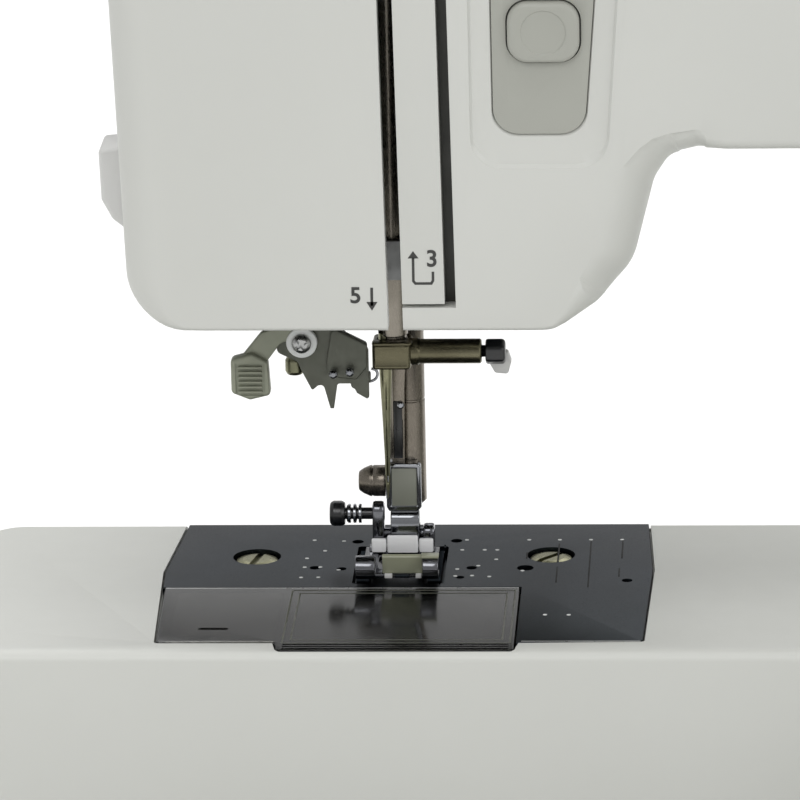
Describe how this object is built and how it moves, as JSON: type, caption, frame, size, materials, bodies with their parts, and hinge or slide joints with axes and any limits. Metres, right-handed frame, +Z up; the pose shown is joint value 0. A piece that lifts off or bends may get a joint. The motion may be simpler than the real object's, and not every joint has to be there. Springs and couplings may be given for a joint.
{
  "type": "sewing machine",
  "caption": "Free-arm domestic sewing machine with drop-in bobbin, zigzag needle bar, presser foot, needle threader, hand wheel, dials and folding handle.",
  "frame": {"origin": "middle of the footprint, on the table under the rubber feet", "axes": "+X to the operator's right along the arm, +Y to the back, +Z up"},
  "size_m": [0.392, 0.164, 0.292],
  "materials": {
    "shell": "fine satin moulded plastic, warm pale grey",
    "grey_plastic": "satin moulded plastic, mid grey",
    "rubber": "matt black rubber",
    "needle_plate": "dark blued steel, fine brushed",
    "plate_screw": "zinc and brass plated, slotted",
    "smoked_cover": "smoked clear plastic, polished",
    "clear_bobbin": "clear plastic, polished",
    "cast": "cast alloy, as cast with machined seats",
    "bright_steel": "polished plated steel",
    "steel": "ground steel, lightly oiled",
    "clamp_bronze": "bronze grey plated, satin",
    "threader_metal": "olive grey moulded and plated metal",
    "black_plastic": "black moulded plastic",
    "motor_metal": "black painted steel can",
    "board": "green glass fibre board",
    "lamp_lens": "white diffusing plastic"
  },
  "bodies": {
    "machine": {"base_pan": "shell", "rubber_foot_front_left": "rubber", "rubber_foot_front_right": "rubber", "rubber_foot_rear_left": "rubber", "rubber_foot_rear_right": "rubber", "base_casing": "shell", "free_arm_casing": "shell", "needle_plate": "needle_plate", "needle_plate_screw_left": "plate_screw", "needle_plate_screw_right": "plate_screw", "front_cover": "shell", "rear_cover": "shell", "face_cover": "shell", "thread_cutter": "grey_plastic", "top_thread_guide": "grey_plastic", "control_panel": "grey_plastic", "circuit_board": "board", "inlet_socket": "black_plastic", "cast_frame": "cast", "drive_belt": "rubber", "motor_belt": "rubber", "motor": "motor_metal", "bobbin_case": "black_plastic", "lamp": "lamp_lens"},
    "main_shaft": {"main_shaft": "steel", "needle_crank": "steel", "hand_wheel": "shell"},
    "lower_shaft": {"lower_shaft": "steel"},
    "rotary_hook": {"rotary_hook": "steel"},
    "bobbin": {"bobbin": "clear_bobbin"},
    "motor_pulley": {"motor_pulley": "black_plastic"},
    "needle_swing": {"needle_bar_frame": "cast"},
    "needle_bar": {"needle_bar": "steel", "needle_clamp": "clamp_bronze", "needle": "bright_steel"},
    "clamp_screw": {"needle_clamp_screw": "black_plastic"},
    "connecting_link": {"connecting_link": "steel"},
    "take_up_lever": {"take_up_lever": "bright_steel"},
    "threader": {"threader_bracket": "threader_metal", "threader_screw": "bright_steel", "threader_lever": "threader_metal"},
    "presser_bar": {"presser_bar": "steel", "foot_holder": "bright_steel", "presser_spring": "steel"},
    "presser_lifter": {"presser_lifter": "grey_plastic"},
    "foot_screw": {"foot_screw": "steel"},
    "presser_foot": {"presser_foot": "bright_steel"},
    "level_button": {"foot_level_button": "black_plastic"},
    "feed_bar": {"feed_bar": "cast"},
    "feed_dog": {"feed_dog": "steel"},
    "bobbin_cover": {"bobbin_cover": "smoked_cover"},
    "start_button": {"start_button": "grey_plastic"},
    "reverse_button": {"reverse_button": "grey_plastic"},
    "speed_slider": {"speed_slider": "grey_plastic"},
    "stitch_dial": {"stitch_dial": "grey_plastic"},
    "tension_dial": {"tension_dial": "grey_plastic"},
    "winder_spindle": {"winder_spindle": "black_plastic"},
    "spool_pin": {"spool_pin": "grey_plastic"},
    "carry_handle": {"carry_handle": "grey_plastic"},
    "power_switch": {"power_switch": "black_plastic"}
  },
  "joints": [
    {"name": "main_shaft_turn", "type": "hinge", "parent": "machine", "child": "main_shaft", "pos_m": [0.042, 0.016, 0.248], "axis": [1, 0, 0], "continuous": true},
    {"name": "lower_shaft_turn", "type": "hinge", "parent": "machine", "child": "lower_shaft", "pos_m": [-0.008, 0.0125, 0.05], "axis": [1, 0, 0], "continuous": true},
    {"name": "hook_turn", "type": "hinge", "parent": "machine", "child": "rotary_hook", "pos_m": [-0.107, -0.0095, 0.06], "axis": [0, 0, 1], "continuous": true},
    {"name": "motor_pulley_turn", "type": "hinge", "parent": "machine", "child": "motor_pulley", "pos_m": [0.154, 0.026, 0.052], "axis": [1, 0, 0], "continuous": true},
    {"name": "bobbin_turn", "type": "hinge", "parent": "machine", "child": "bobbin", "pos_m": [-0.107, -0.0095, 0.069], "axis": [0, 0, 1], "continuous": true},
    {"name": "needle_swing", "type": "hinge", "parent": "machine", "child": "needle_swing", "pos_m": [-0.1084, 0.016, 0.231], "axis": [0, -1, 0], "range_deg": [0, 2]},
    {"name": "needle_bar_slide", "type": "slide", "parent": "needle_swing", "child": "needle_bar", "axis": [0, 0, -1], "range_m": [0, 0.03]},
    {"name": "clamp_screw_turn", "type": "hinge", "parent": "needle_bar", "child": "clamp_screw", "pos_m": [-0.09, 0.015, 0.1264], "axis": [1, 0, 0], "range_deg": [0, 360]},
    {"name": "link_turn", "type": "hinge", "parent": "needle_bar", "child": "connecting_link", "pos_m": [-0.101, 0.016, 0.194], "axis": [1, 0, 0], "range_deg": [-10, 10]},
    {"name": "take_up_turn", "type": "hinge", "parent": "machine", "child": "take_up_lever", "pos_m": [-0.108, 0.042, 0.252], "axis": [1, 0, 0], "range_deg": [0, 28]},
    {"name": "threader_slide", "type": "slide", "parent": "needle_swing", "child": "threader", "axis": [0, 0, -1], "range_m": [0, 0.024], "stiffness_N_per_m": 40, "springref_m": -0.015},
    {"name": "presser_bar_slide", "type": "slide", "parent": "machine", "child": "presser_bar", "axis": [0, 0, 1], "range_m": [0, 0.006], "deforming": ["presser_spring"]},
    {"name": "lifter_turn", "type": "hinge", "parent": "machine", "child": "presser_lifter", "pos_m": [-0.096, 0.066, 0.152], "axis": [0, -1, 0], "range_deg": [0, 80]},
    {"name": "foot_screw_turn", "type": "hinge", "parent": "presser_bar", "child": "foot_screw", "pos_m": [-0.113, 0.026, 0.0952], "axis": [1, 0, 0], "range_deg": [0, 360]},
    {"name": "foot_tilt", "type": "hinge", "parent": "presser_bar", "child": "presser_foot", "pos_m": [-0.108, 0.022, 0.0853], "axis": [1, 0, 0], "range_deg": [-6, 0]},
    {"name": "level_button_press", "type": "slide", "parent": "presser_foot", "child": "level_button", "axis": [1, 0, 0], "range_m": [0, 0.001], "stiffness_N_per_m": 150, "springref_m": -0.002},
    {"name": "feed_bar_slide", "type": "slide", "parent": "machine", "child": "feed_bar", "axis": [0, 1, 0], "range_m": [-0.0022, 0.0022]},
    {"name": "feed_dog_drop", "type": "slide", "parent": "feed_bar", "child": "feed_dog", "axis": [0, 0, -1], "range_m": [0, 0.002]},
    {"name": "bobbin_cover_lift", "type": "slide", "parent": "machine", "child": "bobbin_cover", "axis": [0, 0, 1], "range_m": [0, 0.03]},
    {"name": "start_button_press", "type": "slide", "parent": "machine", "child": "start_button", "axis": [0, 1, 0], "range_m": [0, 0.0012], "stiffness_N_per_m": 200, "springref_m": -0.002},
    {"name": "reverse_button_press", "type": "slide", "parent": "machine", "child": "reverse_button", "axis": [0, 1, 0], "range_m": [0, 0.0012], "stiffness_N_per_m": 200, "springref_m": -0.002},
    {"name": "speed_slider_slide", "type": "slide", "parent": "machine", "child": "speed_slider", "axis": [1, 0, 0], "range_m": [-0.005, 0.005]},
    {"name": "stitch_dial_turn", "type": "hinge", "parent": "machine", "child": "stitch_dial", "pos_m": [0.114, -0.018, 0.202], "axis": [0, 1, 0], "continuous": true},
    {"name": "tension_dial_turn", "type": "hinge", "parent": "machine", "child": "tension_dial", "pos_m": [-0.13, -0.004, 0.269], "axis": [1, 0, 0], "range_deg": [-120, 120]},
    {"name": "winder_spindle_turn", "type": "hinge", "parent": "machine", "child": "winder_spindle", "pos_m": [0.13, 0.024, 0.285], "axis": [0, 0, 1], "continuous": true},
    {"name": "spool_pin_fold", "type": "hinge", "parent": "machine", "child": "spool_pin", "pos_m": [0.078, 0.01, 0.2836], "axis": [0, 1, 0], "range_deg": [0, 90]},
    {"name": "carry_handle_fold", "type": "hinge", "parent": "machine", "child": "carry_handle", "pos_m": [0.022, 0.0425, 0.274], "axis": [1, 0, 0], "range_deg": [0, 90]},
    {"name": "power_switch_rock", "type": "hinge", "parent": "machine", "child": "power_switch", "pos_m": [0.17, 0.005, 0.038], "axis": [0, 1, 0], "range_deg": [-7, 7]}
  ],
  "couplings": [
    {"joint": "lower_shaft_turn", "follows": "main_shaft_turn", "ratio": 1},
    {"joint": "hook_turn", "follows": "main_shaft_turn", "ratio": 2},
    {"joint": "motor_pulley_turn", "follows": "main_shaft_turn", "ratio": 2.75},
    {"joint": "take_up_turn", "follows": "needle_bar_slide", "rad_per_m": 16.28},
    {"joint": "lifter_turn", "follows": "presser_bar_slide", "rad_per_m": 232.7}
  ]
}
